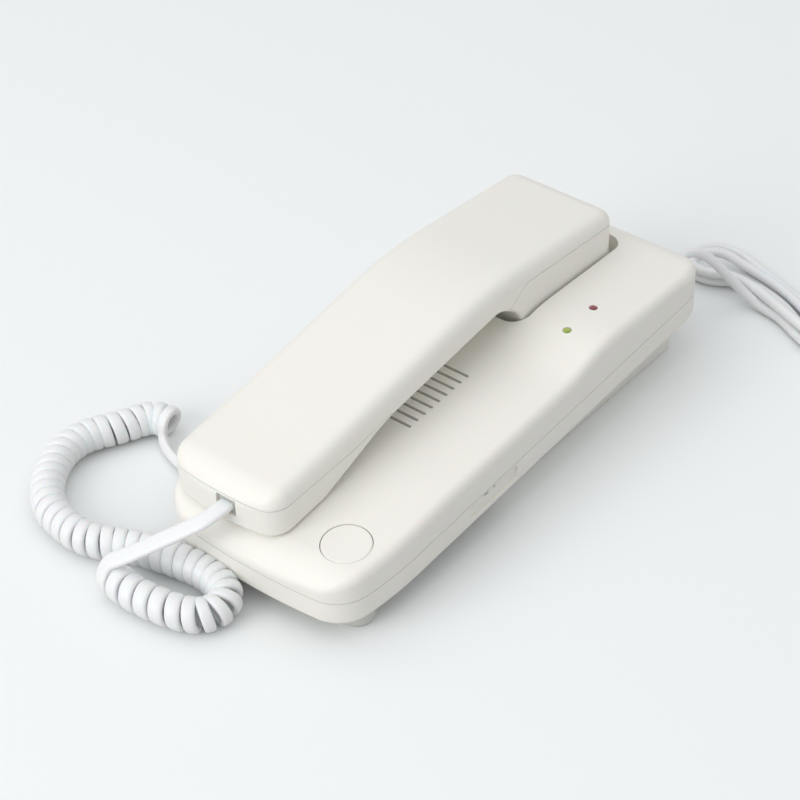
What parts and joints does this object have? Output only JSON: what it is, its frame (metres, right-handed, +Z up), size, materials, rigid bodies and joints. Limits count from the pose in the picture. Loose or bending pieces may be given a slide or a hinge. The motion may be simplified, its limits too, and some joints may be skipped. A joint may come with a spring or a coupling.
{
  "type": "intercom phone",
  "caption": "Desk intercom phone with a handset that lifts off a sloped base, a round call button, two lamps, sound slots and a coiled cord.",
  "frame": {"origin": "on the floor, midway between the base's sides and ends", "axes": "+Z up, +Y from the near end with the call button to the far end that the stand lifts, +X towards the side with the volume knob"},
  "size_m": [0.2661, 0.2945, 0.061],
  "materials": {
    "case_plastic": "fine satin off-white ABS",
    "button_plastic": "satin off-white ABS",
    "cord_plastic": "smooth white PVC",
    "clear_plastic": "clear moulded plastic",
    "dark_plastic": "black moulded plastic",
    "red_lens": "red lamp resin",
    "green_lens": "green lamp resin",
    "rubber_foot": "pale grey rubber",
    "soft_rubber": "black rubber",
    "board": "green solder mask on glass fibre",
    "steel": "zinc plated steel",
    "felt": "black felt",
    "components": "moulded component cases"
  },
  "bodies": {
    "base": {"base_lower_shell": "case_plastic", "base_top_shell": "case_plastic", "front_feet": "rubber_foot", "rear_stand": "case_plastic", "case_screws": "steel", "stand_screws": "steel", "main_pcb": "board", "circuit_parts": "components", "chime_speaker": "steel", "speaker_felt": "felt", "button_spring": "steel", "button_switch": "dark_plastic", "hook_spring": "steel", "hook_switch": "dark_plastic", "volume_switch": "dark_plastic", "red_led": "red_lens", "green_led": "green_lens", "line_terminal": "dark_plastic", "inner_line": "cord_plastic", "cable_grommet": "cord_plastic", "handset_cord_jack": "dark_plastic", "base_plug": "clear_plastic", "curly_cord": "cord_plastic", "cord_lead_base": "cord_plastic", "line_cable": "cord_plastic", "line_hank": "cord_plastic", "hank_tie": "cord_plastic", "line_plug": "clear_plastic"},
    "handset": {"handset_top_shell": "case_plastic", "handset_bottom_shell": "case_plastic", "receiver_capsule": "steel", "receiver_seal": "soft_rubber", "microphone_capsule": "dark_plastic", "mic_boot": "soft_rubber", "handset_weight": "steel", "handset_jack": "dark_plastic", "handset_screws": "steel", "handset_plug": "clear_plastic", "cord_lead_handset": "cord_plastic"},
    "button": {"call_button": "button_plastic"},
    "hook": {"hook_plunger": "case_plastic"},
    "volume": {"volume_knob": "case_plastic"}
  },
  "joints": [
    {"name": "handset_lift", "type": "slide", "parent": "base", "child": "handset", "axis": [0, -0.0588, 0.9983], "range_m": [0, 0.04]},
    {"name": "hook_rise", "type": "slide", "parent": "base", "child": "hook", "axis": [0, -0.0588, 0.9983], "range_m": [0, 0.0024], "deforming": ["hook_spring"]},
    {"name": "call_button", "type": "slide", "parent": "base", "child": "button", "axis": [0, 0.108, -0.9942], "range_m": [0, 0.0012], "stiffness_N_per_m": 600, "springref_m": -0.001, "deforming": ["button_spring"]},
    {"name": "volume_slide", "type": "slide", "parent": "base", "child": "volume", "axis": [0, 0.9983, 0.0588], "range_m": [-0.0016, 0.0016]}
  ],
  "couplings": [
    {"joint": "hook_rise", "follows": "handset_lift", "ratio": 0.06}
  ]
}
